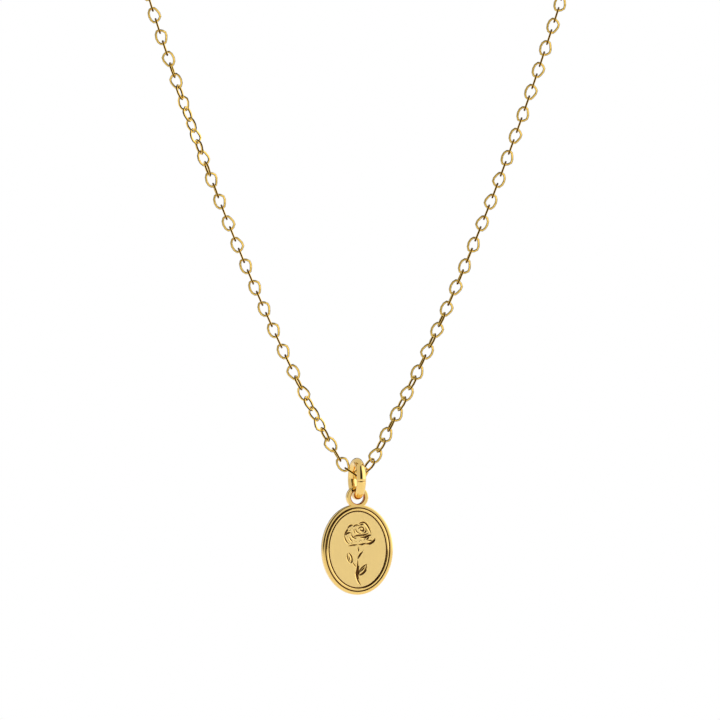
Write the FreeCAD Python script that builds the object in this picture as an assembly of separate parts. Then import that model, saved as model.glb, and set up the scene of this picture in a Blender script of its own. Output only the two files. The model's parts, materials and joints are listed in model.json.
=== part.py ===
import FreeCAD, Part
import math
import os

# An oval medal on a jump ring and a cable chain necklace, closed at the nape by a spring ring clasp.
# Millimetres. The front faces -Y, +Z is up, and the two sides of the V lie in the plane y = 0.
# The origin is midway between the two places where the chain turns over the shoulders.

# Chain links: closed ovals of round wire.
LINK_WIRE = 0.36
LINK_WIDTH = 1.98
LINK_PITCH = 1.79
LINK_PLAY = 0.10          # free gap between two links that hang in one another
LINK_END_RADIUS = 0.74    # centre line radius of a link's two ends

# Route of the chain, one side, counted in links from the lowest point upwards.
GROUP_LINKS = 6           # links in each swinging group
GROUPS = 12               # swinging groups on each side of the V
SHOULDER_LINKS = 10
NECK_LINKS = 40
NECK_NODE_LINKS = 10      # links in each node of the part that lies on the neck
APEX_SLOPES = (34.0, 54.0, 60.0)   # degrees, the links that the ring's weight pulls flat
HANG_TENSION = 57.0       # catenary length of the hanging chain
HANG_START = 99.75        # catenary arc length at the lowest point, which the medal's weight gives
APEX_LEAN = 0.20          # how far the ring pulls the right side's lowest link below the left's
NAPE_LIFT = 12.0          # degrees, steepest rise of the chain towards the nape

# Twist of the chain about its own length, in degrees.
RIGHT_APEX_ROLL = 15.0    # the link that carries the jump ring
SLACK_ROLL = 28.0         # how far the alternate links stand from square, low on the right side
SLACK_ROLL_LINKS = 26     # links over which that dies away
SLACK_AT_HINGE = 0.4      # share of it at a swinging joint, where the links stand nearly square
LEFT_APEX_TWIST = -90.0
LEFT_APEX_TWIST_LINKS = 12
LEFT_TOP_TWIST = 90.0
LEFT_TOP_TWIST_SPAN = (25, 41)

# Jump ring: thick round wire with a butted seam.
RING_WIRE = 1.40
RING_OUTER = 6.50
RING_YAW = 16.0           # degrees from edge-on to the front
RING_SEAM = 0.05
RING_SEAM_ANGLE = -5.5    # degrees from the level of the ring's centre, on its near side
RING_OFFSET = 0.10        # ring's centre to the right of the chain's lowest joint
RING_SEAT = 0.07          # free gap between the ring and the links that it hangs on

# Medal: flat oval plate with an ear.
MEDAL_WIDTH = 11.2
MEDAL_HEIGHT = 13.9
MEDAL_THICKNESS = 1.0
MEDAL_YAW = 14.0
MEDAL_EDGE = 0.15         # rounding of the plate's edges
EAR_OUTER = 3.4
EAR_HOLE = 2.06
EAR_STAND = 1.10          # ear's centre above the oval's top
EAR_FILLET = 0.30         # inside corners between the ear and the oval
EAR_SEAT = 0.06           # free gap between the ear's hole and the jump ring
GROOVE_DEPTH = 0.12
GROOVE_WIDTH = 0.24
OUTER_GROOVE_INSET = 0.55
INNER_GROOVE_INSET = 1.03

# Spring ring clasp at the nape.
CLASP_OUTER = 6.0
CLASP_TUBE = 1.30
CLASP_BORE = 0.90
BOLT_WIRE = 0.80
GAP_ANGLES = (15.0, 65.0)      # degrees from the right-hand end, the mouth that the bolt closes
BOLT_ANGLES = (12.0, 135.0)
BORE_END_ANGLE = 250.0
SOCKET_DEPTH_ANGLE = 4.0
STUD_ANGLE = 78.0
SLOT_ANGLES = (72.5, 133.0)
SLOT_WIDTH = 0.50
STUD_DIAMETER = 0.40
STUD_KNOB = 0.70
STUD_REACH = 0.30              # knob's centre above the tube's outside
SPRING_OUTER = 0.76
SPRING_INNER = 0.56
SPRING_END_GAP = 1.5           # degrees between the spring and what it presses on
EYE_OUTER = 2.10
EYE_WIRE = 0.50
CLASP_RING_OUTER = 3.20
CLASP_RING_WIRE = 0.60
END_RING_OUTER = 3.70
END_RING_WIRE = 0.70

OUT = "parts"
SEAT_STEPS = 24           # fineness of the search for the ring's seat
SEAT_HALVINGS = 16
UP = FreeCAD.Vector(0, 0, 1)
BACK = FreeCAD.Vector(0, 1, 0)
SIDES = {"left": -1, "right": 1}
HINGED_LINKS = GROUP_LINKS * GROUPS
SIDE_LINKS = HINGED_LINKS + SHOULDER_LINKS + NECK_LINKS


def vec(x, y, z):
    return FreeCAD.Vector(x, y, z)


def unit(v):
    return v * (1.0 / v.Length)


def smooth_step(value, low, high):
    t = min(max((value - low) / (high - low), 0.0), 1.0)
    return t * t * (3 - 2 * t)


def placement(origin, x_axis, z_axis):
    """Placement that puts a local X and Z axis along two square directions."""
    y_axis = z_axis.cross(x_axis)
    matrix = FreeCAD.Matrix(
        x_axis.x, y_axis.x, z_axis.x, origin.x,
        x_axis.y, y_axis.y, z_axis.y, origin.y,
        x_axis.z, y_axis.z, z_axis.z, origin.z,
        0, 0, 0, 1)
    return FreeCAD.Placement(matrix)


def placed(shape, origin, x_axis, z_axis):
    copy = shape.copy()
    copy.Placement = placement(origin, x_axis, z_axis).multiply(shape.Placement)
    return copy


def arc_tube(radius, tube, start=0.0, sweep=360.0, centre=None):
    """Part of a torus in the local XY plane, from one angle on through a sweep, in degrees."""
    centre = centre or vec(0, 0, 0)
    solid = Part.makeTorus(radius, tube / 2, vec(0, 0, 0), UP, 0, 360, sweep)
    solid.rotate(vec(0, 0, 0), UP, start)
    solid.translate(centre)
    return solid


# ---------------------------------------------------------------- chain links

def oval_arcs():
    """A link's centre line, its length along X: radius, centre, start and sweep of four tangent arcs."""
    half_length = (LINK_PITCH + LINK_PLAY + LINK_WIRE) / 2
    half_width = (LINK_WIDTH - LINK_WIRE) / 2
    reach = half_length - LINK_END_RADIUS
    side = (reach ** 2 + half_width ** 2 - LINK_END_RADIUS ** 2) / (2 * (half_width - LINK_END_RADIUS))
    turn = math.degrees(math.atan2(side - half_width, reach))
    arcs = []
    for start, sign in ((0, 1), (180, -1)):
        arcs.append((LINK_END_RADIUS, vec(sign * reach, 0, 0), start - turn, 2 * turn))
        arcs.append((side, vec(0, -sign * (side - half_width), 0), start + turn, 180 - 2 * turn))
    return arcs


def link_solid():
    """One closed oval link of round wire."""
    pieces = [arc_tube(radius, LINK_WIRE, start, sweep, centre)
              for radius, centre, start, sweep in oval_arcs()]
    return pieces[0].fuse(pieces[1:]).removeSplitter().Solids[0]


def oval_points(steps):
    """Points along a link's centre line, in its own frame."""
    points = []
    for radius, centre, start, sweep in oval_arcs():
        for step in range(steps):
            angle = math.radians(start + sweep * step / steps)
            points.append(centre + vec(math.cos(angle), math.sin(angle), 0) * radius)
    return points


# ---------------------------------------------------------------- route of the chain

def hanging_slope(index):
    """Slope from level, in degrees, of a link of the V."""
    if index < len(APEX_SLOPES):
        return APEX_SLOPES[index]
    return math.degrees(math.atan((HANG_START + (index + 0.5) * LINK_PITCH) / HANG_TENSION))


def hanging_heights(side):
    """Heights of the joints between the links of the V, from the lowest one."""
    heights = [0.0]
    for index in range(HINGED_LINKS):
        heights.append(heights[-1] + LINK_PITCH * math.sin(math.radians(hanging_slope(index))))
    for index in range(GROUP_LINKS):
        heights[index] -= side * APEX_LEAN / 2 * (1 - index / GROUP_LINKS)
    return heights


def hanging_steps(side):
    """How far out each link of the V carries the chain."""
    heights = hanging_heights(side)
    return [math.sqrt(LINK_PITCH ** 2 - (high - low) ** 2) for low, high in zip(heights, heights[1:])]


def hanging_contacts(side):
    """Joints of the V on one side in the plane y = 0. The shoulders stand equally far out."""
    start = (sum(hanging_steps(-1)) - sum(hanging_steps(1))) / 2
    heights = hanging_heights(side)
    contacts = [vec(start, 0, heights[0])]
    for step, height in zip(hanging_steps(side), heights[1:]):
        contacts.append(vec(contacts[-1].x + side * step, 0, height))
    return contacts


def neck_directions(side, start_x, end_x):
    """Directions of the links round the neck, which end level and square behind it."""
    needed = abs(start_x - end_x)

    def headings(fullness):
        return [90 * ((i + 0.5) / NECK_LINKS) ** fullness for i in range(NECK_LINKS)]

    def lifts():
        return [math.radians(NAPE_LIFT) * math.sin(math.pi * (i + 0.5) / NECK_LINKS)
                for i in range(NECK_LINKS)]

    def inward(fullness):
        return sum(LINK_PITCH * math.sin(math.radians(h)) * math.cos(e)
                   for h, e in zip(headings(fullness), lifts()))

    low, high = 0.2, 8.0
    for _ in range(60):
        middle = (low + high) / 2
        if inward(middle) > needed:
            low = middle
        else:
            high = middle
    return [vec(-side * math.sin(math.radians(h)) * math.cos(e),
                math.cos(math.radians(h)) * math.cos(e), math.sin(e))
            for h, e in zip(headings(low), lifts())]


def side_route(side):
    """All joints of one side and each link's direction and face normal, lowest joint at height 0."""
    contacts = hanging_contacts(side)
    normals = [vec(0, -1, 0)] * HINGED_LINKS
    rising = unit(contacts[-1] - contacts[-2])
    for i in range(SHOULDER_LINKS):
        turn = math.radians(90 * (i + 0.5) / SHOULDER_LINKS)
        direction = rising * math.cos(turn) + BACK * math.sin(turn)
        contacts.append(contacts[-1] + direction * LINK_PITCH)
        normals.append(rising * math.sin(turn) - BACK * math.cos(turn))
    end_x = clasp_ends()[0 if side < 0 else 1]
    for direction in neck_directions(side, contacts[-1].x, end_x):
        contacts.append(contacts[-1] + direction * LINK_PITCH)
        normals.append(unit(UP - direction * UP.dot(direction)))
    return contacts, normals


def roll(side, index):
    """Turn of a link about its own length from facing the front, in degrees."""
    odd = index % 2
    if side > 0:
        start = RIGHT_APEX_ROLL * (1 - smooth_step(index, 0, 2))
        slack = SLACK_ROLL * (1 - smooth_step(index, 0, SLACK_ROLL_LINKS))
        if (index + 1) % GROUP_LINKS == 0:
            slack *= SLACK_AT_HINGE
        return start + odd * (90 + slack)
    twist = LEFT_APEX_TWIST * (1 - smooth_step(index, 0, LEFT_APEX_TWIST_LINKS))
    twist += LEFT_TOP_TWIST * smooth_step(index, *LEFT_TOP_TWIST_SPAN)
    twist -= LEFT_TOP_TWIST * smooth_step(index, HINGED_LINKS, SIDE_LINKS - NECK_NODE_LINKS)
    return twist + odd * 90


def drop():
    """Height of the shoulders above the chain's lowest joint."""
    return side_route(1)[0][HINGED_LINKS + SHOULDER_LINKS].z


def link_placements(side):
    """Place of every link of one side, from the lowest, with the lowest joint at height 0."""
    contacts, normals = side_route(side)
    places = []
    for index, normal in enumerate(normals):
        low, high = contacts[index], contacts[index + 1]
        direction = unit(high - low)
        angle = math.radians(roll(side, index))
        face = normal * math.cos(angle) + direction.cross(normal) * math.sin(angle)
        places.append(placement((low + high) * 0.5, direction, face))
    return places


def chain_links(side):
    """Every link of one side at its place, from the lowest."""
    link = link_solid()
    links = []
    for place in link_placements(side):
        copy = link.copy()
        copy.Placement = place
        copy.translate(vec(0, 0, -drop()))
        links.append(copy)
    return links


def chain_nodes():
    """Node name to solids. The top group is 01 and the lowest is 12."""
    nodes = {}
    for name, side in SIDES.items():
        links = chain_links(side)
        for group in range(GROUPS):
            first = group * GROUP_LINKS
            nodes[f"chain_{name}_{GROUPS - group:02d}"] = links[first:first + GROUP_LINKS]
        fixed = links[HINGED_LINKS:]
        for number, first in enumerate(range(0, len(fixed), NECK_NODE_LINKS)):
            nodes[f"neck_chain_{name}_{number + 1}"] = fixed[first:first + NECK_NODE_LINKS]
    carrier = nodes[f"chain_right_{GROUPS:02d}"].pop(0)
    nodes["ring_carrier_link"] = [carrier]
    return nodes


# ---------------------------------------------------------------- jump ring and medal

def ring_radius():
    return (RING_OUTER - RING_WIRE) / 2


def ring_side():
    """Level direction in the ring's plane, towards its near side."""
    yaw = math.radians(RING_YAW)
    return vec(math.sin(yaw), -math.cos(yaw), 0)


def ring_centre():
    """The ring hangs on the two lowest links: it is lowered until it is a seat's gap from them."""
    wires = [place.multVec(point) for place in (link_placements(-1)[0], link_placements(1)[0])
             for point in oval_points(SEAT_STEPS)]
    angles = [math.radians(30 + 120 * step / SEAT_STEPS) for step in range(SEAT_STEPS + 1)]
    arc = [(ring_side() * math.cos(angle) + UP * math.sin(angle)) * ring_radius() for angle in angles]
    offset = hanging_contacts(1)[0].x + RING_OFFSET
    clear = (RING_WIRE + LINK_WIRE) / 2 + RING_SEAT
    low, high = -ring_radius(), LINK_PITCH
    for _ in range(SEAT_HALVINGS):
        middle = (low + high) / 2
        centre = vec(offset, 0, middle)
        nearest = min(wire.distanceToPoint(centre + point) for wire in wires for point in arc)
        if nearest > clear:
            high = middle
        else:
            low = middle
    return vec(offset, 0, high - drop())


def jump_ring():
    radius = ring_radius()
    seam = math.degrees(RING_SEAM / radius)
    ring = arc_tube(radius, RING_WIRE, RING_SEAM_ANGLE + seam / 2, 360 - seam)
    near = ring_side()
    return placed(ring, ring_centre(), near, near.cross(UP))


def ear_centre():
    """The ear hangs on the lowest point of the ring's wire."""
    drop_in_hole = EAR_HOLE / 2 - RING_WIRE / 2 - EAR_SEAT
    return ring_centre() - UP * (ring_radius() + drop_in_hole)


def ear_rise():
    """Height of the ear's centre above the oval's centre."""
    return MEDAL_HEIGHT / 2 + EAR_STAND


def medal_normal():
    yaw = math.radians(MEDAL_YAW)
    return vec(math.sin(yaw), -math.cos(yaw), 0)


def oval_face(inset):
    """Upright oval in the local XY plane, inset from the medal's outline."""
    turned = Part.Ellipse(vec(0, 0, 0), MEDAL_HEIGHT / 2 - inset, MEDAL_WIDTH / 2 - inset)
    edge = turned.toShape()
    edge.rotate(vec(0, 0, 0), UP, 90)
    return Part.Face(Part.Wire([edge]))


def groove(inset):
    """Oval ring that is cut into the front face."""
    outer = oval_face(inset - GROOVE_WIDTH / 2)
    inner = oval_face(inset + GROOVE_WIDTH / 2)
    cutter = outer.cut(inner).extrude(vec(0, 0, GROOVE_DEPTH * 2))
    cutter.translate(vec(0, 0, MEDAL_THICKNESS / 2 - GROOVE_DEPTH))
    return cutter


def ear_corners(plate):
    """Edges through the plate's thickness where the ear meets the oval."""
    corners = []
    for edge in plate.Edges:
        first, last = edge.Vertexes[0].Point, edge.Vertexes[-1].Point
        through = abs(first.z - last.z) > MEDAL_THICKNESS * 0.9
        if through and abs(first.x) > EAR_OUTER / 4 and first.y < ear_rise() - EAR_OUTER / 8:
            corners.append(edge)
    return corners


def medal():
    """Plate in the local XY plane with its front towards +Z, then hung from the ring."""
    plate = oval_face(0).extrude(vec(0, 0, MEDAL_THICKNESS))
    ear = Part.makeCylinder(EAR_OUTER / 2, MEDAL_THICKNESS, vec(0, ear_rise(), 0))
    body = plate.fuse(ear).removeSplitter().Solids[0]
    body = body.makeFillet(EAR_FILLET, ear_corners(body))
    rims = [edge for edge in body.Edges
            if abs(edge.Vertexes[0].Point.z - edge.Vertexes[-1].Point.z) < 1e-6]
    body = body.makeFillet(MEDAL_EDGE, rims)
    body = body.cut(Part.makeCylinder(EAR_HOLE / 2, MEDAL_THICKNESS, vec(0, ear_rise(), 0)))
    body.translate(vec(0, 0, -MEDAL_THICKNESS / 2))
    for inset in (OUTER_GROOVE_INSET, INNER_GROOVE_INSET):
        body = body.cut(groove(inset))
    centre = ear_centre() - UP * ear_rise()
    normal = medal_normal()
    return placed(body.Solids[0], centre, UP.cross(normal), normal)


# ---------------------------------------------------------------- clasp

def clasp_radius():
    return (CLASP_OUTER - CLASP_TUBE) / 2


def eye_offset():
    """Eye's centre from the clasp's centre: its wire is soldered into the tube's outside."""
    return clasp_radius() + CLASP_TUBE / 2 + (EYE_OUTER - EYE_WIRE) / 2


def clasp_reaches():
    """Distance from the clasp's centre to the inside of its eye's far end and of its tube."""
    eye = eye_offset() + EYE_OUTER / 2 - EYE_WIRE
    return eye, clasp_radius() - CLASP_TUBE / 2


def clasp_spans():
    """Pitch of the three pieces between the chain's two last links."""
    first = CLASP_RING_OUTER - 2 * CLASP_RING_WIRE - LINK_PLAY
    middle = sum(clasp_reaches()) - LINK_PLAY
    last = END_RING_OUTER - 2 * END_RING_WIRE - LINK_PLAY
    return first, middle, last


def clasp_ends():
    """X of the joints between the chain's last links and the clasp's rings."""
    half = sum(clasp_spans()) / 2
    return -half, half


def nape():
    """Where the two sides meet behind the neck, on the plane of symmetry."""
    last = side_route(1)[0][-1]
    return vec(0, last.y, last.z - drop())


def clasp_centre():
    first, _, _ = clasp_spans()
    eye, _ = clasp_reaches()
    return nape() + vec(clasp_ends()[0] + first - LINK_PLAY / 2 + eye, 0, 0)


def on_clasp(shape):
    """Turn a shape drawn in the local XY plane upright, at the clasp's centre."""
    return placed(shape, clasp_centre(), vec(1, 0, 0), vec(0, -1, 0))


def clasp_body():
    radius = clasp_radius()
    start = GAP_ANGLES[1]
    end = GAP_ANGLES[0] + 360
    tube = arc_tube(radius, CLASP_TUBE, start, end - start)
    eye = arc_tube((EYE_OUTER - EYE_WIRE) / 2, EYE_WIRE, centre=vec(-eye_offset(), 0, 0))
    body = tube.fuse(eye)
    bore = arc_tube(radius, CLASP_BORE, start - 1, BORE_END_ANGLE - start + 1)
    socket = arc_tube(radius, CLASP_BORE, end - SOCKET_DEPTH_ANGLE, SOCKET_DEPTH_ANGLE + 1)
    low, high = SLOT_ANGLES
    slot = Part.makeCylinder(radius + CLASP_TUBE, SLOT_WIDTH, vec(0, 0, -SLOT_WIDTH / 2), UP, high - low)
    slot = slot.cut(Part.makeCylinder(radius, SLOT_WIDTH, vec(0, 0, -SLOT_WIDTH / 2)))
    slot.rotate(vec(0, 0, 0), UP, low)
    return on_clasp(body.cut([bore, socket, slot]).removeSplitter().Solids[0])


def clasp_trigger():
    """Curved bolt with the stud that the thumbnail pulls."""
    radius = clasp_radius()
    low, high = BOLT_ANGLES
    bolt = arc_tube(radius, BOLT_WIRE, low, high - low)
    angle = math.radians(STUD_ANGLE)
    outward = vec(math.cos(angle), math.sin(angle), 0)
    reach = CLASP_TUBE / 2 + STUD_REACH
    stud = Part.makeCylinder(STUD_DIAMETER / 2, reach, outward * radius, outward)
    knob = Part.makeSphere(STUD_KNOB / 2, outward * (radius + reach))
    return on_clasp(bolt.fuse([stud, knob]).removeSplitter().Solids[0])


def clasp_spring():
    """Outer shape of the coil spring that pushes the bolt shut."""
    low = BOLT_ANGLES[1] + SPRING_END_GAP
    sweep = BORE_END_ANGLE - SPRING_END_GAP - low
    outer = arc_tube(clasp_radius(), SPRING_OUTER, low, sweep)
    inner = arc_tube(clasp_radius(), SPRING_INNER, low - 1, sweep + 2)
    return on_clasp(outer.cut(inner).Solids[0])


def level_ring(outer, wire, centre_x):
    """Closed round ring that lies level at the nape."""
    ring = arc_tube((outer - wire) / 2, wire)
    ring.translate(nape() + vec(centre_x, 0, 0))
    return ring


def clasp_ring():
    left_end = clasp_ends()[0]
    return level_ring(CLASP_RING_OUTER, CLASP_RING_WIRE, left_end + clasp_spans()[0] / 2)


def end_ring():
    right_end = clasp_ends()[1]
    return level_ring(END_RING_OUTER, END_RING_WIRE, right_end - clasp_spans()[2] / 2)


# ---------------------------------------------------------------- the whole necklace

def all_nodes():
    nodes = chain_nodes()
    nodes["jump_ring"] = [jump_ring()]
    nodes["medal"] = [medal()]
    nodes["clasp_body"] = [clasp_body()]
    nodes["clasp_trigger"] = [clasp_trigger()]
    nodes["clasp_spring"] = [clasp_spring()]
    nodes["clasp_ring"] = [clasp_ring()]
    nodes["end_ring"] = [end_ring()]
    return nodes


def main():
    os.makedirs(OUT, exist_ok=True)
    for name, solids in all_nodes().items():
        shape = solids[0] if len(solids) == 1 else Part.makeCompound(solids)
        shape.exportStep(os.path.join(OUT, name + ".step"))


if __name__ == "__main__":
    main()
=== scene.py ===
"""Oval rose medal on a cable chain necklace: detailed pieces, gold finishes and studio, round the CAD frame."""

import json
import math

import bmesh
import bpy
import numpy as np
from bpy.props import FloatProperty, FloatVectorProperty, IntProperty, PointerProperty
from mathutils import Matrix, Vector


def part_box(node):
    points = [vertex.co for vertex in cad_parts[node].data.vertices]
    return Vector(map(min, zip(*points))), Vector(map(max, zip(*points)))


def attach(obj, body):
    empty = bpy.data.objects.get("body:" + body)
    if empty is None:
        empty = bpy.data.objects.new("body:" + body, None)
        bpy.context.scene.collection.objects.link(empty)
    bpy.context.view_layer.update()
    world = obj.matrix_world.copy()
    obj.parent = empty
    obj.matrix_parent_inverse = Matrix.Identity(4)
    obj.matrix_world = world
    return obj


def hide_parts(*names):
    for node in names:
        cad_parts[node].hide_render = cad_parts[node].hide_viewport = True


bl_info = {
    "name": "Rose medal necklace",
    "version": (1, 0, 0),
    "blender": (4, 5, 0),
    "location": "View3D > Sidebar > Necklace",
    "description": "Builds an oval medal with an engraved rose, its jump ring, cable chain and clasp",
    "category": "Object",
}

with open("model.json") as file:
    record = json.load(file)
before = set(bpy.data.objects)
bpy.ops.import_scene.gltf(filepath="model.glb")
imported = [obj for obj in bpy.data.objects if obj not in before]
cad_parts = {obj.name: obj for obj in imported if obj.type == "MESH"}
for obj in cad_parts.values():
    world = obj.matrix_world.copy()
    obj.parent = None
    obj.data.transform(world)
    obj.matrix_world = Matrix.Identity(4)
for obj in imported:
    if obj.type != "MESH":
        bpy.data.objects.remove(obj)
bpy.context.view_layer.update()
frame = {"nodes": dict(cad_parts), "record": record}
MM = 0.001
# Two of the medal's materials, the cut floors and the ear's hole, carry painted shade.
POLISHED, BRUSHED, CUT_PAINTED_SHADE, HOLE_PAINTED_SHADE = range(4)     # the medal's finishes, in the order of its materials
MEDAL_FINISHES = ("polished_gold", "brushed_gold", "cut_gold_painted_shade", "hole_gold_painted_shade")
HEXAGON = 1             # bevel resolution that gives a wire six sides
COIL_STEPS = 12         # points in each turn of the coil spring
FLOOR_RADIUS, FLOOR_LEVEL = 0.45, -0.182
CAMERA_DISTANCE, VIEW_WIDTH = 3.0, 110.8 * MM
AIM_ACROSS, AIM_ABOVE_RING = 0.72 * MM, 18.3 * MM
SENSOR = 36


# ---------------------------------------------------------------- sizes and colours

class MedalSizes(bpy.types.PropertyGroup):
    width: FloatProperty(name="Width", description="Oval's width, face on", default=11.2 * MM, unit="LENGTH")
    height: FloatProperty(name="Height", description="Oval's height", default=13.9 * MM, unit="LENGTH")
    thickness: FloatProperty(name="Thickness", description="Plate's thickness", default=1.0 * MM, unit="LENGTH")
    yaw: FloatProperty(name="Turn", description="Turn of the face to the side",
                       default=math.radians(14), subtype="ANGLE")
    edge: FloatProperty(name="Edge rounding", description="Rounding of the plate's edges",
                        default=0.14 * MM, unit="LENGTH")
    ear_outer: FloatProperty(name="Ear", description="Ear's outside diameter", default=3.4 * MM, unit="LENGTH")
    ear_hole: FloatProperty(name="Ear hole", description="Ear's hole", default=2.06 * MM, unit="LENGTH")
    ear_rise: FloatProperty(name="Ear rise", description="Ear's centre above the oval's centre",
                            default=8.05 * MM, unit="LENGTH")
    rim: FloatProperty(name="Rim", description="Flat rim outside the grooves", default=0.43 * MM, unit="LENGTH")
    groove_width: FloatProperty(name="Groove width", description="Width of both turned grooves",
                                default=0.21 * MM, unit="LENGTH")
    groove_depth: FloatProperty(name="Groove depth", description="Depth of both turned grooves",
                                default=0.13 * MM, unit="LENGTH")
    band_width: FloatProperty(name="Band width", description="Width of the rounded band between the grooves",
                              default=0.30 * MM, unit="LENGTH")
    graver: FloatProperty(name="Graver", description="Half the width of the rose's widest engraved line",
                          default=0.22 * MM, unit="LENGTH")
    graver_depth: FloatProperty(name="Graver depth", description="Depth of the rose's engraved lines",
                                default=0.06 * MM, unit="LENGTH")


class RingSizes(bpy.types.PropertyGroup):
    outer: FloatProperty(name="Outside", description="Jump ring's outside diameter",
                         default=6.49 * MM, unit="LENGTH")
    wire: FloatProperty(name="Wire", description="Jump ring's wire", default=1.4 * MM, unit="LENGTH")
    yaw: FloatProperty(name="Turn", description="Turn of the ring from edge-on",
                       default=math.radians(16), subtype="ANGLE")
    seam: FloatProperty(name="Seam", description="Gap between the wire's butted ends",
                        default=0.05 * MM, unit="LENGTH")
    seam_angle: FloatProperty(name="Seam place", description="Seam's angle from level, on the near side",
                              default=math.radians(-5.5), subtype="ANGLE")


class ChainSizes(bpy.types.PropertyGroup):
    wire: FloatProperty(name="Wire", description="Chain wire, across the corners of its six-sided section",
                        default=0.36 * MM, unit="LENGTH")
    width: FloatProperty(name="Link width", description="Link's outside width", default=1.98 * MM, unit="LENGTH")
    length: FloatProperty(name="Link length", description="Link's outside length",
                          default=2.61 * MM, unit="LENGTH")
    end_handle: FloatProperty(name="End fullness", description="Roundness of a link's ends",
                              default=0.489 * MM, unit="LENGTH")
    side_handle: FloatProperty(name="Side fullness", description="Straightness of a link's sides",
                               default=0.64 * MM, unit="LENGTH")


class ClaspSizes(bpy.types.PropertyGroup):
    clasp_outer: FloatProperty(name="Outside", description="Clasp ring's outside diameter",
                               default=6.0 * MM, unit="LENGTH")
    clasp_tube: FloatProperty(name="Tube", description="Clasp tube's diameter", default=1.3 * MM, unit="LENGTH")
    coil_outer: FloatProperty(name="Spring", description="Coil spring's outside diameter",
                              default=0.74 * MM, unit="LENGTH")
    coil_wire: FloatProperty(name="Spring wire", description="Wire of the coil spring",
                             default=0.10 * MM, unit="LENGTH")
    coil_turns: IntProperty(name="Spring turns", description="Turns of the coil spring", default=17)


class Finish(bpy.types.PropertyGroup):
    gold: FloatVectorProperty(name="Gold", description="Yellow gold, polished", subtype="COLOR",
                              size=3, default=(1.0, 0.69, 0.23))
    link: FloatVectorProperty(name="Chain gold", description="Faces of the chain's links", subtype="COLOR",
                              size=3, default=(1.0, 0.67, 0.15))
    matt: FloatVectorProperty(name="Matt gold", description="Finely brushed field", subtype="COLOR",
                              size=3, default=(1.0, 0.735, 0.29))
    # Painted shade: the near-black colour of the groove floors and engraved lines.
    cut: FloatVectorProperty(name="Cut gold", description="Floor of grooves and engraved lines", subtype="COLOR",
                             size=3, default=(0.10, 0.04, 0.010))
    # Painted shade: a dark red-brown on the wall of the ear's hole.
    hole: FloatVectorProperty(name="Hole gold", description="Wall of the ear's hole", subtype="COLOR",
                              size=3, default=(0.42, 0.13, 0.02))
    # Painted dark reflection: the colour laid along the chain links' inner and outer edges.
    edge: FloatVectorProperty(name="Link edge", description="Dark edges of the chain's links", subtype="COLOR",
                              size=3, default=(0.06, 0.022, 0.003))
    steel: FloatVectorProperty(name="Steel", description="Wire of the clasp's spring", subtype="COLOR",
                               size=3, default=(0.60, 0.61, 0.63))
    floor: FloatVectorProperty(name="Floor", description="Studio floor", subtype="COLOR",
                               size=3, default=(0.86, 0.86, 0.86))


# ---------------------------------------------------------------- small tools

def clean_start():
    """Nothing selected, object mode, cursor at the origin."""
    if bpy.context.object and bpy.context.object.mode != "OBJECT":
        bpy.ops.object.mode_set(mode="OBJECT")
    bpy.ops.object.select_all(action="DESELECT")
    bpy.context.scene.cursor.location = (0, 0, 0)


def pick(*objects):
    """Only these are selected, and the first is active."""
    bpy.ops.object.select_all(action="DESELECT")
    for one in objects:
        one.select_set(True)
    bpy.context.view_layer.objects.active = objects[0]


def named(name):
    made = bpy.context.object
    made.name = name
    made.data.name = name
    return made


def apply_all(piece):
    pick(piece)
    bpy.ops.object.transform_apply(location=True, rotation=True, scale=True)


def apply_modifier(piece, kind, **settings):
    pick(piece)
    modifier = piece.modifiers.new(kind.title(), kind)
    for key, value in settings.items():
        setattr(modifier, key, value)
    bpy.ops.object.modifier_apply(modifier=modifier.name)


def settle(piece, matrix):
    """Move a piece that was modelled at the origin to its place, with the place in its mesh."""
    piece.matrix_world = matrix
    apply_all(piece)


def select_faces(piece, test):
    """In edit mode, only the faces whose centre and normal pass the test are selected."""
    mesh = bmesh.from_edit_mesh(piece.data)
    for element in (*mesh.verts, *mesh.edges, *mesh.faces):
        element.select = False
    for face in mesh.faces:
        if test(face.calc_center_median(), face.normal):
            face.select_set(True)
    bmesh.update_edit_mesh(piece.data)


def select_edges(piece, test):
    mesh = bmesh.from_edit_mesh(piece.data)
    for element in (*mesh.verts, *mesh.edges, *mesh.faces):
        element.select = False
    for edge in mesh.edges:
        if test(edge.verts[0].co, edge.verts[1].co):
            edge.select_set(True)
    bmesh.update_edit_mesh(piece.data)


def smooth(piece, degrees=35):
    pick(piece)
    bpy.ops.object.shade_smooth_by_angle(angle=math.radians(degrees))


def face_outwards(piece, merge=1e-7):
    pick(piece)
    bpy.ops.object.mode_set(mode="EDIT")
    bpy.ops.mesh.select_all(action="SELECT")
    bpy.ops.mesh.remove_doubles(threshold=merge)
    bpy.ops.mesh.normals_make_consistent(inside=False)
    bpy.ops.object.mode_set(mode="OBJECT")


def coat(piece, *materials):
    piece.data.materials.clear()
    for material in materials:
        piece.data.materials.append(material)


def stand_for(piece, node, body):
    """The piece moves with a body and shows in a CAD node's place."""
    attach(piece, body)
    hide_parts(node)


# ---------------------------------------------------------------- shader tools

class Wire:
    """A shader value with the usual arithmetic."""

    def __init__(self, nodes, socket):
        self.nodes, self.socket = nodes, socket

    def math(self, operation, *values):
        return self.nodes.add("ShaderNodeMath", {"operation": operation}, dict(enumerate(values)))

    def __add__(self, other):
        return self.math("ADD", self, other)

    def __sub__(self, other):
        return self.math("SUBTRACT", self, other)

    def __rsub__(self, other):
        return self.math("SUBTRACT", other, self)

    def __mul__(self, other):
        return self.math("MULTIPLY", self, other)

    def clamp(self):
        return self.math("MINIMUM", self.math("MAXIMUM", self, 0.0), 1.0)

    __radd__ = __add__
    __rmul__ = __mul__


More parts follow.
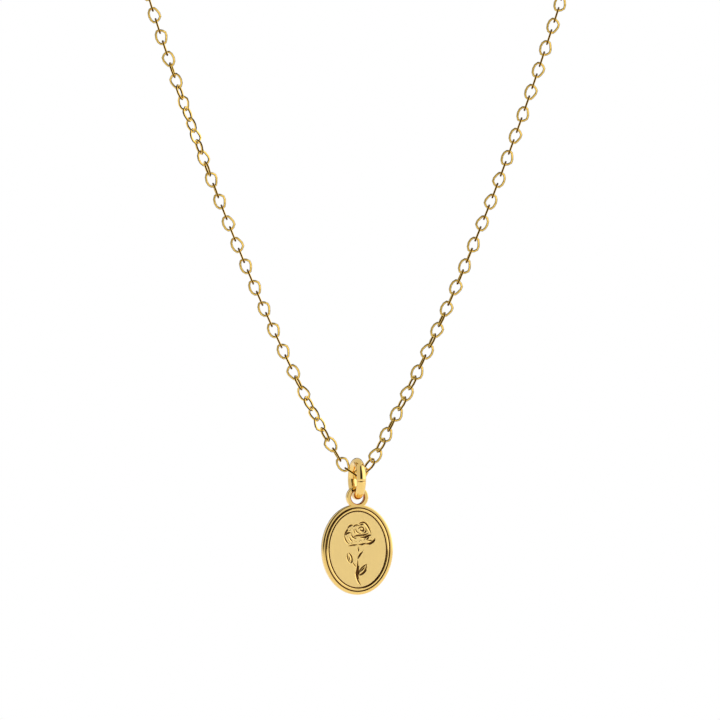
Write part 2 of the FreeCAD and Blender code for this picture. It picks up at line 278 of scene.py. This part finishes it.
class Nodes:
    """Adds nodes to a material's or world's tree."""

    def __init__(self, tree):
        self.tree = tree

    def plug(self, socket, value):
        if isinstance(value, Wire):
            self.tree.links.new(value.socket, socket)
        else:
            socket.default_value = value

    def add(self, kind, settings=None, inputs=None, output=0):
        node = self.tree.nodes.new(kind)
        for key, value in (settings or {}).items():
            setattr(node, key, value)
        for key, value in (inputs or {}).items():
            self.plug(node.inputs[key], value)
        return Wire(self, node.outputs[output])

    def blend(self, factor, first, second):
        node = self.tree.nodes.new("ShaderNodeMix")
        node.data_type = "RGBA"
        self.plug(node.inputs[0], factor)
        self.plug(node.inputs[6], first)
        self.plug(node.inputs[7], second)
        return Wire(self, node.outputs[2])

    def smooth_range(self, value, low, high):
        settings = {"interpolation_type": "SMOOTHSTEP", "clamp": True}
        return self.add("ShaderNodeMapRange", settings, {0: value, 1: low, 2: high, 3: 0.0, 4: 1.0})


def metal(name, colour, roughness, build):
    """A metal with its own colour, roughness and surface pattern, which build(nodes, place, shader) adds."""
    material = bpy.data.materials.new(name)
    material.use_nodes = True
    nodes = Nodes(material.node_tree)
    shader = material.node_tree.nodes["Principled BSDF"]
    shader.inputs["Metallic"].default_value = 1.0
    shader.inputs["Base Color"].default_value = (*colour, 1)
    shader.inputs["Roughness"].default_value = roughness
    place = nodes.add("ShaderNodeTexCoord", output=3)
    build(nodes, place, shader)
    return material


def rgba(colour, shade=1.0):
    return (*[c * shade for c in colour], 1)


def polished(nodes, place, shader, colour):
    """Hand-polished: faint haze, hairline wipes and a slightly warmer tone where it is worn."""
    haze = nodes.add("ShaderNodeTexNoise", None, {"Vector": place, "Scale": 900.0, "Detail": 3.0})
    fine = nodes.add("ShaderNodeTexNoise", None, {"Vector": place, "Scale": 6000.0, "Detail": 2.0})
    nodes.plug(shader.inputs["Roughness"], haze * 0.04 + fine * 0.02 + 0.02)
    nodes.plug(shader.inputs["Base Color"], nodes.blend(haze, rgba(colour, 0.96), rgba(colour, 1.0)))
    bump = nodes.add("ShaderNodeBump", None, {"Strength": 0.012, "Distance": 0.00002, "Height": fine})
    nodes.plug(shader.inputs["Normal"], bump)


def brushed(nodes, place, shader, colour):
    """Fine upright brushing over the medal's field."""
    stretched = nodes.add("ShaderNodeMapping", None, {"Vector": place, "Scale": (9000.0, 9000.0, 500.0)})
    lines = nodes.add("ShaderNodeTexNoise", None, {"Vector": stretched, "Scale": 1.0, "Detail": 3.0})
    cloud = nodes.add("ShaderNodeTexNoise", None, {"Vector": place, "Scale": 350.0, "Detail": 2.0})
    nodes.plug(shader.inputs["Roughness"], lines * 0.12 + cloud * 0.06 + 0.32)
    tone = lines * 0.6 + cloud * 0.4
    nodes.plug(shader.inputs["Base Color"], nodes.blend(tone, rgba(colour, 0.92), rgba(colour, 1.06)))
    bump = nodes.add("ShaderNodeBump", None, {"Strength": 0.12, "Distance": 0.00002, "Height": lines})
    nodes.plug(shader.inputs["Normal"], bump)


def cut(nodes, place, shader, colour):
    """Floor of a cut line: darkened with painted shade, with the graver's small chatter."""
    chatter = nodes.add("ShaderNodeTexNoise", None, {"Vector": place, "Scale": 5000.0, "Detail": 2.0})
    nodes.plug(shader.inputs["Roughness"], chatter * 0.2 + 0.25)
    nodes.plug(shader.inputs["Base Color"], nodes.blend(chatter, rgba(colour, 0.7), rgba(colour, 1.4)))


def burnished_with_painted_dark_edges(nodes, place, shader, colour):
    """Chain links: burnished faces, with painted dark reflections along their inner and outer edges."""
    lift = nodes.add("ShaderNodeAttribute", {"attribute_name": "lift"}, output=2)
    grain = nodes.add("ShaderNodeTexNoise", None, {"Vector": place, "Scale": 1500.0, "Detail": 3.0})
    face = nodes.smooth_range(lift + grain * 0.2, 0.56, 0.86)
    # Painted dark reflection along the link edges, polished gold on the faces.
    edge = rgba(bpy.context.scene.necklace_finish.edge)
    nodes.plug(shader.inputs["Base Color"], nodes.blend(face, edge, rgba(colour)))
    nodes.plug(shader.inputs["Roughness"], 0.3 - face * 0.2)


def drawn_steel(nodes, place, shader, colour):
    """Drawn wire: dull, with a fine grain."""
    grain = nodes.add("ShaderNodeTexNoise", None, {"Vector": place, "Scale": 7000.0, "Detail": 2.0})
    nodes.plug(shader.inputs["Roughness"], grain * 0.1 + 0.25)
    nodes.plug(shader.inputs["Base Color"], nodes.blend(grain, rgba(colour, 0.85), rgba(colour, 1.0)))


def finish_of(name):
    """The named finish, made once."""
    if name in bpy.data.materials:
        return bpy.data.materials[name]
    tones = bpy.context.scene.necklace_finish
    kinds = {
        "polished_gold": (tones.gold, 0.08, polished),
        "brushed_gold": (tones.matt, 0.35, brushed),
        "cut_gold_painted_shade": (tones.cut, 0.35, cut),
        "hole_gold_painted_shade": (tones.hole, 0.2, polished),
        "link_gold_painted_edges": (tones.link, 0.1, burnished_with_painted_dark_edges),
        "spring_steel": (tones.steel, 0.3, drawn_steel),
    }
    colour, roughness, build = kinds[name]
    colour = tuple(colour)
    return metal(name, colour, roughness, lambda n, p, s: build(n, p, s, colour))


# ---------------------------------------------------------------- chain

def link_frames(node):
    """Place of every link in a chain node: its middle, length, width and face, from its triangles."""
    data = frame["nodes"][node].data
    places = np.empty(len(data.vertices) * 3)
    data.vertices.foreach_get("co", places)
    places = places.reshape(-1, 3)
    corners = np.empty(len(data.loops), dtype=np.int64)
    data.loops.foreach_get("vertex_index", corners)
    triangles = places[corners.reshape(-1, 3)]
    per_link = len(frame["nodes"]["ring_carrier_link"].data.polygons)
    frames = []
    for start in range(0, len(triangles), per_link):
        link = triangles[start:start + per_link]
        middle = link.mean(axis=1)
        area = np.linalg.norm(np.cross(link[:, 1] - link[:, 0], link[:, 2] - link[:, 0]), axis=1)
        centre = (middle * area[:, None]).sum(axis=0) / area.sum()
        spread = middle - centre
        _, axes = np.linalg.eigh((spread * area[:, None]).T @ spread)
        along, face = Vector(axes[:, 2]), Vector(axes[:, 0])
        matrix = Matrix((along, face.cross(along), face)).transposed().to_4x4()
        matrix.translation = Vector(centre)
        frames.append(matrix)
    return frames


def model_link(sizes):
    """One closed oval link of six-sided wire, lying flat at the origin with its length along X."""
    bpy.ops.curve.primitive_bezier_circle_add(radius=1.0)
    path = bpy.context.object
    half_length = (sizes.length - sizes.wire) / 2
    half_width = (sizes.width - sizes.wire) / 2
    for point in path.data.splines[0].bezier_points:
        point.handle_left_type = point.handle_right_type = "FREE"
        at_end = abs(point.co.x) > abs(point.co.y)
        reach = Vector((half_length, 0, 0)) if at_end else Vector((0, half_width, 0))
        handle = sizes.end_handle if at_end else sizes.side_handle
        before, after = ((h - point.co).normalized() * handle for h in (point.handle_left, point.handle_right))
        sign = point.co.x + point.co.y
        point.co = reach * sign
        point.handle_left, point.handle_right = point.co + before, point.co + after
    path.data.dimensions = "3D"
    path.data.resolution_u = 3
    path.data.bevel_mode = "ROUND"
    path.data.bevel_depth = sizes.wire / 2
    path.data.bevel_resolution = HEXAGON
    pick(path)
    bpy.ops.object.convert(target="MESH")
    link = named("link_master")
    face_outwards(link)
    bpy.ops.object.shade_smooth()
    # Near zero at the wire's inner and outer edges, where the painted dark reflection goes.
    lift = link.data.attributes.new("lift", "FLOAT", "POINT")
    lift.data.foreach_set("value", [abs(vertex.co.z) / (sizes.wire / 2) for vertex in link.data.vertices])
    return link


def chain_piece(master, node, name, body):
    """All links of a chain node as one piece."""
    copies = []
    for matrix in link_frames(node):
        copy = master.copy()
        copy.data = master.data.copy()
        bpy.context.collection.objects.link(copy)
        settle(copy, matrix)
        copies.append(copy)
    pick(*copies)
    if len(copies) > 1:
        bpy.ops.object.join()
    piece = named(name)
    coat(piece, finish_of("link_gold_painted_edges"))
    stand_for(piece, node, body)
    return piece


class NECKLACE_OT_chain(bpy.types.Operator):
    """Model the cable chain, one piece for each of the frame's chain nodes"""
    bl_idname = "necklace.chain"
    bl_label = "Cable chain"

    def execute(self, context):
        clean_start()
        master = model_link(context.scene.necklace_chain)
        bodies = frame["record"]["behaviour"]["bodies"]
        for body, nodes in bodies.items():
            for node in nodes:
                if "chain_" in node or node == "ring_carrier_link":
                    chain_piece(master, node, node.replace("chain", "links"), body)
        bpy.data.objects.remove(master)
        return {"FINISHED"}


# ---------------------------------------------------------------- rings and clasp

class NECKLACE_OT_rings(bpy.types.Operator):
    """Model the jump ring with its butted seam, and the two small rings at the clasp"""
    bl_idname = "necklace.rings"
    bl_label = "Rings"

    def execute(self, context):
        clean_start()
        sizes = context.scene.necklace_ring
        low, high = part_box("jump_ring")
        centre = (Vector(low) + Vector(high)) / 2
        ring = wire_ring("jump_ring_wire", sizes.outer, sizes.wire, sizes.seam)
        # The ring is drawn in the XZ plane with its seam at +X, which turns to the near side.
        turn = Matrix.Rotation(sizes.yaw - math.pi / 2, 4, "Z") @ Matrix.Rotation(-sizes.seam_angle, 4, "Y")
        settle(ring, Matrix.Translation(centre) @ turn)
        stand_for(ring, "jump_ring", "jump_ring")
        for node in ("clasp_ring", "end_ring"):
            low, high = (Vector(corner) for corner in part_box(node))
            ring = wire_ring(node + "_wire", high.x - low.x, high.z - low.z, 0.0)
            settle(ring, Matrix.Translation((low + high) / 2) @ Matrix.Rotation(math.pi / 2, 4, "X"))
            stand_for(ring, node, "neck")
        return {"FINISHED"}


def wire_ring(name, outer, wire, seam):
    """Round wire bent to a ring in the XZ plane. A seam leaves its two ends butted at +X."""
    radius = (outer - wire) / 2
    bpy.ops.mesh.primitive_circle_add(vertices=24, radius=wire / 2, location=(radius, 0, 0))
    ring = named(name)
    apply_all(ring)
    gap = seam / radius
    bpy.ops.object.mode_set(mode="EDIT")
    bpy.ops.mesh.select_all(action="SELECT")
    if seam:
        bpy.ops.mesh.edge_face_add()
    bpy.ops.mesh.select_all(action="SELECT")
    bpy.ops.mesh.spin(steps=96, angle=2 * math.pi - gap, center=(0, 0, 0), axis=(0, 1, 0))
    bpy.ops.object.mode_set(mode="OBJECT")
    face_outwards(ring)
    if seam:
        ring.data.transform(Matrix.Rotation(gap / 2, 4, "Y"))
        apply_modifier(ring, "BEVEL", width=0.05 * MM, segments=2, limit_method="ANGLE",
                       angle_limit=math.radians(50))
    smooth(ring, 40)
    coat(ring, finish_of("polished_gold"))
    return ring


def spring_span(centre):
    """Angles where the frame's spring starts and ends, about the clasp's middle, from +X towards +Z."""
    data = frame["nodes"]["clasp_spring"].data
    angles = [math.atan2(v.co.z - centre.z, v.co.x - centre.x) % math.tau for v in data.vertices]
    return min(angles), max(angles)


def wind_spring(sizes):
    """Coil of thin round wire bent along the clasp's tube."""
    low, high = (Vector(corner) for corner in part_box("clasp_body"))
    centre = Vector((high.x - sizes.clasp_outer / 2, (low.y + high.y) / 2, low.z + sizes.clasp_outer / 2))
    start, end = spring_span(centre)
    margin = sizes.coil_wire / sizes.clasp_outer * 2
    steps = sizes.coil_turns * COIL_STEPS
    bend = (sizes.clasp_outer - sizes.clasp_tube) / 2
    round_wire = (sizes.coil_outer - sizes.coil_wire) / 2
    bpy.ops.curve.primitive_nurbs_path_add()
    coil = named("clasp_coil")
    coil.data.splines.clear()
    wire = coil.data.splines.new("NURBS")
    wire.points.add(steps)
    for number, point in enumerate(wire.points):
        along = start + margin + (end - start - 2 * margin) * number / steps
        turn = math.tau * number / COIL_STEPS
        reach = bend + round_wire * math.cos(turn)
        point.co = (centre.x + reach * math.cos(along), centre.y + round_wire * math.sin(turn),
                    centre.z + reach * math.sin(along), 1)
    wire.order_u = 3
    wire.use_endpoint_u = True
    coil.data.dimensions = "3D"
    coil.data.resolution_u = 1
    coil.data.bevel_depth = sizes.coil_wire / 2
    coil.data.bevel_resolution = HEXAGON
    coil.data.use_fill_caps = True
    pick(coil)
    bpy.ops.object.convert(target="MESH")
    coil = named("clasp_coil")
    apply_all(coil)
    face_outwards(coil)
    smooth(coil, 50)
    coat(coil, finish_of("spring_steel"))
    return coil


class NECKLACE_OT_clasp(bpy.types.Operator):
    """Finish the spring ring clasp and wind the coil spring inside its tube"""
    bl_idname = "necklace.clasp"
    bl_label = "Spring ring clasp"

    def execute(self, context):
        clean_start()
        for node in ("clasp_body", "clasp_trigger"):
            coat(frame["nodes"][node], finish_of("polished_gold"))
            for face in frame["nodes"][node].data.polygons:
                face.use_smooth = True
        stand_for(wind_spring(context.scene.necklace_clasp), "clasp_spring", "clasp")
        return {"FINISHED"}


# ---------------------------------------------------------------- medal

# Engraved lines of the rose, in millimetres from the oval's centre: across, up.
PETALS = (
    ((0.15, 4.00), (0.65, 4.22), (1.05, 4.25), (1.55, 3.75), (1.90, 3.10), (2.15, 2.35)),
    ((0.15, 3.72), (0.60, 3.88), (1.00, 4.05)),
    ((-1.60, 3.25), (-1.45, 3.70), (-1.00, 3.92), (-0.72, 3.70)),
    ((-0.72, 3.50), (-0.45, 3.85), (-0.02, 3.88), (0.20, 3.62)),
    ((-1.60, 3.25), (-1.72, 2.90), (-2.02, 2.65), (-2.12, 2.20)),
    ((-2.02, 2.20), (-1.72, 2.66), (-1.25, 2.75), (-0.95, 2.42)),
    ((-2.12, 2.20), (-2.02, 1.62), (-1.75, 1.12), (-1.35, 0.80)),
    ((-1.50, 0.52), (-1.00, 0.66), (-0.50, 0.82), (0.00, 0.70)),
    ((0.00, 0.70), (0.45, 0.74), (0.85, 0.95), (1.30, 1.00)),
    ((0.95, 0.82), (1.60, 0.84), (2.20, 1.08), (2.60, 1.42), (2.75, 1.78)),
    ((1.35, 1.50), (1.85, 1.34), (2.40, 1.45)),
    ((-0.95, 2.42), (-0.98, 1.95), (-0.62, 1.66), (-0.22, 1.80)),
    ((-0.75, 1.92), (-0.25, 2.20), (0.45, 2.18), (1.15, 2.28), (1.70, 2.55)),
    ((0.30, 1.92), (0.80, 1.82), (1.30, 1.98), (1.75, 2.28), (2.15, 2.25)),
    ((1.70, 2.10), (1.66, 1.80), (1.35, 1.50)),
    ((-1.30, 1.95), (-1.15, 1.45), (-0.80, 1.22)),
)
HEART = (
    ((0.05, 3.22), (0.35, 3.52), (0.82, 3.48), (1.00, 3.12), (0.72, 2.82), (0.38, 2.95), (0.50, 3.18)),
    ((-0.28, 3.30), (-0.38, 2.88), (-0.05, 2.52), (0.50, 2.46)),
    ((1.25, 3.40), (1.46, 2.98), (1.22, 2.62), (0.82, 2.52)),
    ((-0.55, 3.20), (-0.66, 2.82), (-0.45, 2.45)),
)
STEM = (
    ((0.04, 0.50), (0.10, 0.10), (0.06, -0.30)),
    ((0.80, -0.28), (0.38, -0.62), (0.08, -1.02), (-0.02, -1.50)),
    ((-0.02, -1.60), (0.02, -2.35), (-0.05, -2.95), (-0.26, -3.60), (-0.12, -4.40), (0.16, -5.02), (0.50, -5.55)),
    ((0.16, -2.75), (0.12, -3.15), (-0.06, -3.70), (0.06, -4.45), (0.26, -5.05)),
    ((-0.80, -1.95), (-0.56, -2.32), (-0.30, -2.62)),
    ((0.92, -0.02), (0.97, -0.14)),
)
TICKS = (
    ((-1.15, 3.38), (-0.80, 3.20)), ((-1.42, 2.92), (-1.10, 3.06)), ((-0.38, 3.64), (-0.12, 3.46)),
    ((1.42, 3.12), (1.62, 2.76)), ((-1.78, 2.25), (-1.62, 1.85)), ((-1.55, 1.60), (-1.28, 1.22)),
    ((-0.60, 1.36), (-0.15, 1.22)), ((0.18, 1.28), (0.58, 1.42)), ((0.95, 1.42), (1.22, 1.70)),
    ((-1.10, 0.98), (-0.78, 1.06)), ((0.62, 2.42), (0.98, 2.50)), ((2.02, 1.84), (2.36, 1.70)),
    ((-1.70, -0.78), (-1.58, -1.02)), ((-1.28, -0.72), (-1.18, -0.92)), ((-1.42, -1.58), (-1.26, -1.86)),
)
LEAVES = (
    ((0.12, -3.55), (0.40, -2.92), (0.90, -2.45), (1.42, -2.22)),
    ((0.00, -4.02), (0.60, -3.78), (1.10, -3.40), (1.36, -2.82), (1.42, -2.22)),
    ((0.32, -3.46), (0.76, -3.02), (1.12, -2.66)),
    ((-1.62, -0.55), (-1.74, -1.12), (-1.54, -1.80), (-1.10, -2.10)),
    ((-1.46, -0.46), (-1.12, -0.76), (-0.86, -1.22), (-0.88, -1.76), (-1.10, -2.10)),
    ((-1.42, -1.00), (-1.36, -1.42), (-1.20, -1.74)),
)


def stroke(points, half_width, depth):
    """One cut of a flat-nosed graver along a smooth line, thick and thin, lifted at both ends."""
    bpy.ops.curve.primitive_nurbs_path_add()
    line = bpy.context.object
    line.data.splines.clear()
    spline = line.data.splines.new("NURBS")
    spline.points.add(len(points) - 1)
    for number, (point, (across, up)) in enumerate(zip(spline.points, points)):
        point.co = (across * MM, up * MM, 0, 1)
        point.radius = 0.25 if number in (0, len(points) - 1) else 1.0 + 0.3 * (number % 2)
    spline.order_u = min(4, len(points))
    spline.use_endpoint_u = True
    line.data.resolution_u = 4
    line.data.bevel_depth = half_width
    line.data.bevel_resolution = HEXAGON
    line.data.use_fill_caps = True
    pick(line)
    bpy.ops.object.convert(target="MESH")
    cut_line = bpy.context.object
    cut_line.scale = (1, 1, depth / (half_width * math.sin(math.radians(60))))
    return cut_line


def engrave_rose(plate, sizes):
    """Cut every line of the rose into the plate's front, polished walls over a floor darkened with painted shade."""
    weights = ((PETALS, 1.0), (HEART, 0.85), (TICKS, 0.9), (STEM, 1.0), (LEAVES, 0.9))
    for lines, weight in weights:
        for points in lines:
            tool = stroke(points, sizes.graver * weight, sizes.graver_depth)
            tool.location.z = sizes.thickness / 2
            apply_all(tool)
            face_outwards(tool)
            coat(tool, *plate.data.materials)
            for face in tool.data.polygons:
                # Floors of the cuts get painted shade; their walls stay polished.
                face.material_index = CUT_PAINTED_SHADE if abs(face.normal.z) > 0.95 else POLISHED
            apply_modifier(plate, "BOOLEAN", operation="DIFFERENCE", solver="EXACT", object=tool)
            bpy.data.objects.remove(tool)


def model_plate(sizes):
    """Oval plate facing +Z, with two turned grooves and a rounded band between them."""
    bpy.ops.mesh.primitive_circle_add(vertices=128, radius=0.5, fill_type="NGON",
                                      location=(0, 0, -sizes.thickness / 2))
    plate = named("medal_plate")
    plate.scale = (sizes.width, sizes.height, 1)
    apply_all(plate)
    bpy.ops.object.mode_set(mode="EDIT")
    bpy.ops.mesh.select_all(action="SELECT")
    bpy.ops.mesh.extrude_region_move(TRANSFORM_OT_translate={"value": (0, 0, sizes.thickness)})
    bpy.ops.object.mode_set(mode="OBJECT")
    round_edges(plate, sizes)
    bpy.ops.object.mode_set(mode="EDIT")
    select_faces(plate, lambda centre, normal: centre.z > sizes.thickness * 0.49 and normal.z > 0.99)
    depth, width, band = sizes.groove_depth, sizes.groove_width, sizes.band_width
    cut_steps = ((0.10, -0.55), (0.20, -0.35), (0.20, -0.10), (0.20, 0.10), (0.20, 0.35), (0.10, 0.55))
    crown = ((0.15, 0.10), (0.35, 0.02), (0.35, -0.02), (0.15, -0.10))
    steps = [(sizes.rim - sizes.edge, 0.0)]
    steps += [(width * share, depth * fall) for share, fall in cut_steps]
    steps += [(band * share, band * rise) for share, rise in crown]
    steps += [(width * share, depth * fall) for share, fall in cut_steps]
    for inward, rise in steps:
        bpy.ops.mesh.inset(thickness=inward, depth=rise, use_even_offset=True)
    bpy.ops.object.mode_set(mode="OBJECT")
    return plate


def model_ear(sizes):
    """Round ear with its hole, and its foot cut to the oval."""
    bpy.ops.mesh.primitive_cylinder_add(vertices=64, radius=sizes.ear_outer / 2, depth=sizes.thickness,
                                        location=(0, sizes.ear_rise, 0))
    ear = named("ear")
    apply_all(ear)
    bpy.ops.mesh.primitive_cylinder_add(vertices=64, radius=sizes.ear_hole / 2, depth=sizes.thickness * 2,
                                        location=(0, sizes.ear_rise, 0))
    hole = named("ear_hole")
    apply_all(hole)
    apply_modifier(ear, "BOOLEAN", operation="DIFFERENCE", solver="EXACT", object=hole)
    round_edges(ear, sizes)
    bpy.ops.mesh.primitive_cylinder_add(vertices=128, radius=0.5, depth=sizes.thickness * 2)
    oval = named("ear_foot")
    oval.scale = (sizes.width - sizes.rim * 1.2, sizes.height - sizes.rim * 1.2, 1)
    apply_all(oval)
    apply_modifier(ear, "BOOLEAN", operation="DIFFERENCE", solver="EXACT", object=oval)
    for tool in (hole, oval):
        bpy.data.objects.remove(tool)
    return ear


def in_ellipse(point, half_width, half_height):
    return (point.x / half_width) ** 2 + (point.y / half_height) ** 2 < 1


class NECKLACE_OT_medal(bpy.types.Operator):
    """Model the oval medal: plate, ear, turned grooves and engraved rose"""
    bl_idname = "necklace.medal"
    bl_label = "Rose medal"

    def execute(self, context):
        clean_start()
        sizes = context.scene.necklace_medal
        plate = model_plate(sizes)
        ear = model_ear(sizes)
        apply_modifier(plate, "BOOLEAN", operation="UNION", solver="EXACT", object=ear)
        bpy.data.objects.remove(ear)
        coat(plate, *[finish_of(name) for name in MEDAL_FINISHES])
        tint_faces(plate, sizes)
        engrave_rose(plate, sizes)
        smooth(plate, 32)
        part_finishes(plate)
        low, high = (Vector(corner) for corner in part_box("medal"))
        centre = Vector(((low.x + high.x) / 2, (low.y + high.y) / 2, low.z + sizes.height / 2))
        upright = Matrix.Rotation(math.pi / 2, 4, "X")
        settle(plate, Matrix.Translation(centre) @ Matrix.Rotation(sizes.yaw, 4, "Z") @ upright)
        apply_modifier(plate, "WEIGHTED_NORMAL", keep_sharp=True)
        stand_for(plate, "medal", "medal")
        return {"FINISHED"}


def part_finishes(plate):
    """A sharp edge wherever two finishes meet."""
    pick(plate)
    bpy.ops.object.mode_set(mode="EDIT")
    mesh = bmesh.from_edit_mesh(plate.data)
    for edge in mesh.edges:
        if len({face.material_index for face in edge.link_faces}) > 1:
            edge.smooth = False
    bmesh.update_edit_mesh(plate.data)
    bpy.ops.object.mode_set(mode="OBJECT")


def round_edges(piece, sizes):
    """Soften the edges where a flat front or back meets an upright wall."""
    half = sizes.thickness / 2
    pick(piece)
    bpy.ops.object.mode_set(mode="EDIT")
    select_edges(piece, lambda first, last: abs(abs(first.z) - half) < 1e-7 and abs(first.z - last.z) < 1e-7)
    mesh = bmesh.from_edit_mesh(piece.data)
    for edge in mesh.edges:
        if edge.select and edge.calc_face_angle(0.0) < math.radians(45):
            edge.select = False
    bmesh.update_edit_mesh(piece.data)
    bpy.ops.mesh.bevel(offset=sizes.edge, segments=3, affect="EDGES", clamp_overlap=False)
    bpy.ops.object.mode_set(mode="OBJECT")


def tint_faces(plate, sizes):
    """Matt field inside the inner groove, floors of the two grooves darkened with painted shade, painted shade on the
    wall of the ear's hole, polish elsewhere.
    """
    half = sizes.thickness / 2
    span = sizes.rim + 2 * sizes.groove_width + sizes.band_width
    ear = Vector((0, sizes.ear_rise, 0))
    for face in plate.data.polygons:
        centre = face.center
        from_ear = (Vector((centre.x, centre.y, 0)) - ear).length
        # The wall of the ear's hole gets painted shade.
        if from_ear < sizes.ear_hole / 2 + sizes.edge and len(face.vertices) < 10:
            face.material_index = HOLE_PAINTED_SHADE
            continue
        inside = in_ellipse(centre, sizes.width / 2 - span * 0.98, sizes.height / 2 - span * 0.98)
        if face.normal.z > 0.9 and inside:
            face.material_index = BRUSHED
        elif centre.z > 0 and centre.z < half - sizes.groove_depth * 0.45 and face.normal.z > 0.2:
            rim = in_ellipse(centre, sizes.width / 2 - sizes.rim, sizes.height / 2 - sizes.rim)
            # Groove floors inside the rim get painted shade.
            face.material_index = CUT_PAINTED_SHADE if rim else POLISHED


# ---------------------------------------------------------------- studio

class NECKLACE_OT_studio(bpy.types.Operator):
    """Pale floor, soft studio light and the camera"""
    bl_idname = "necklace.studio"
    bl_label = "Studio"

    def execute(self, context):
        clean_start()
        scene = context.scene
        bpy.ops.mesh.primitive_circle_add(vertices=96, radius=FLOOR_RADIUS, fill_type="NGON",
                                          location=(0, 0, FLOOR_LEVEL))
        floor = named("studio_floor")
        apply_all(floor)
        paint = bpy.data.materials.new("studio_paint")
        paint.use_nodes = True
        nodes = Nodes(paint.node_tree)
        shader = paint.node_tree.nodes["Principled BSDF"]
        shader.inputs["Roughness"].default_value = 0.6
        soft = nodes.add("ShaderNodeTexNoise", None, {"Scale": 40.0})
        shader.inputs["Emission Color"].default_value = (1, 1, 1, 1)
        shader.inputs["Emission Strength"].default_value = 0.28
        tone = tuple(scene.necklace_finish.floor)
        nodes.plug(shader.inputs["Base Color"], nodes.blend(soft, rgba(tone, 0.99), rgba(tone, 1.01)))
        coat(floor, paint)
        light_studio(scene)
        ring_low, ring_high = (Vector(corner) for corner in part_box("jump_ring"))
        ring_centre = (ring_low + ring_high) / 2
        aim = Vector((AIM_ACROSS, 0, ring_centre.z + AIM_ABOVE_RING))
        bpy.ops.object.camera_add(location=aim - Vector((0, CAMERA_DISTANCE, 0)),
                                  rotation=(math.pi / 2, 0, 0))
        camera = context.object
        camera.name = "studio_camera"
        camera.data.sensor_width = SENSOR
        camera.data.lens = SENSOR * CAMERA_DISTANCE / VIEW_WIDTH
        camera.data.clip_start, camera.data.clip_end = 0.1, 50
        scene.camera = camera
        return {"FINISHED"}


def light_studio(scene):
    """Light table below, a tent with a brighter box at the right, dark gaps before and behind, white to the camera."""
    world = bpy.data.worlds.new("studio")
    scene.world = world
    world.use_nodes = True
    world.node_tree.nodes.clear()
    nodes = Nodes(world.node_tree)
    direction = nodes.add("ShaderNodeTexCoord", output=0)
    split = world.node_tree.nodes.new("ShaderNodeSeparateXYZ")
    nodes.plug(split.inputs[0], direction)
    across, depth, up = (Wire(nodes, split.outputs[i]) for i in range(3))
    side = nodes.add("ShaderNodeMath", {"operation": "ARCTAN2"}, {0: across, 1: 0.0 - depth})

    def window(value, start, end, soft):
        return nodes.smooth_range(value, start - soft, start + soft) * (
            1.0 - nodes.smooth_range(value, end - soft, end + soft))

    table = 1.0 - nodes.smooth_range(up, -0.05, 0.02)
    gap = window(side, math.radians(-32), math.radians(20), 0.03) * (1.0 - nodes.smooth_range(up, 0.95, 0.99))
    behind = (1.0 - window(side, math.radians(-162), math.radians(164), 0.05)) * (
        1.0 - nodes.smooth_range(up, 0.36, 0.44))
    right_box = window(side, math.radians(40), math.radians(132), 0.12) * window(up, -0.1, 0.85, 0.06)
    tent = (right_box * 0.85 + 0.70) * (1.0 - gap) * (1.0 - behind)
    bright = table * 0.85 + (1.0 - table) * tent + 0.015
    camera_ray = nodes.add("ShaderNodeLightPath", output=0)
    seen = nodes.add("ShaderNodeMix", {"data_type": "FLOAT"}, {0: camera_ray, 2: bright, 3: 1.0})
    background = nodes.add("ShaderNodeBackground", None, {"Color": (1, 1, 1, 1), "Strength": seen})
    output = world.node_tree.nodes.new("ShaderNodeOutputWorld")
    nodes.plug(output.inputs[0], background)
    scene.view_settings.view_transform = "Standard"
    scene.view_settings.look = "None"


class NECKLACE_PT_sidebar(bpy.types.Panel):
    bl_label = "Rose medal necklace"
    bl_space_type = "VIEW_3D"
    bl_region_type = "UI"
    bl_category = "Necklace"

    def draw(self, context):
        for group in GROUPS:
            box = self.layout.box()
            sizes = getattr(context.scene, group)
            for key in sizes.bl_rna.properties.keys():
                if key not in {"rna_type", "name"}:
                    box.prop(sizes, key)
        for operator in OPERATORS:
            self.layout.operator(operator.bl_idname)


OPERATORS = (NECKLACE_OT_medal, NECKLACE_OT_rings, NECKLACE_OT_chain, NECKLACE_OT_clasp, NECKLACE_OT_studio)
GROUPS = {"necklace_medal": MedalSizes, "necklace_ring": RingSizes,
          "necklace_chain": ChainSizes, "necklace_clasp": ClaspSizes, "necklace_finish": Finish}


def register():
    for kind in (*GROUPS.values(), *OPERATORS, NECKLACE_PT_sidebar):
        bpy.utils.register_class(kind)
    for name, kind in GROUPS.items():
        setattr(bpy.types.Scene, name, PointerProperty(type=kind))


def unregister():
    for name in GROUPS:
        delattr(bpy.types.Scene, name)
    for kind in reversed((*GROUPS.values(), *OPERATORS, NECKLACE_PT_sidebar)):
        bpy.utils.unregister_class(kind)


def main():
    register()
    bpy.ops.necklace.medal()
    bpy.ops.necklace.rings()
    bpy.ops.necklace.chain()
    bpy.ops.necklace.clasp()
    bpy.ops.necklace.studio()


if __name__ == "__main__":
    main()
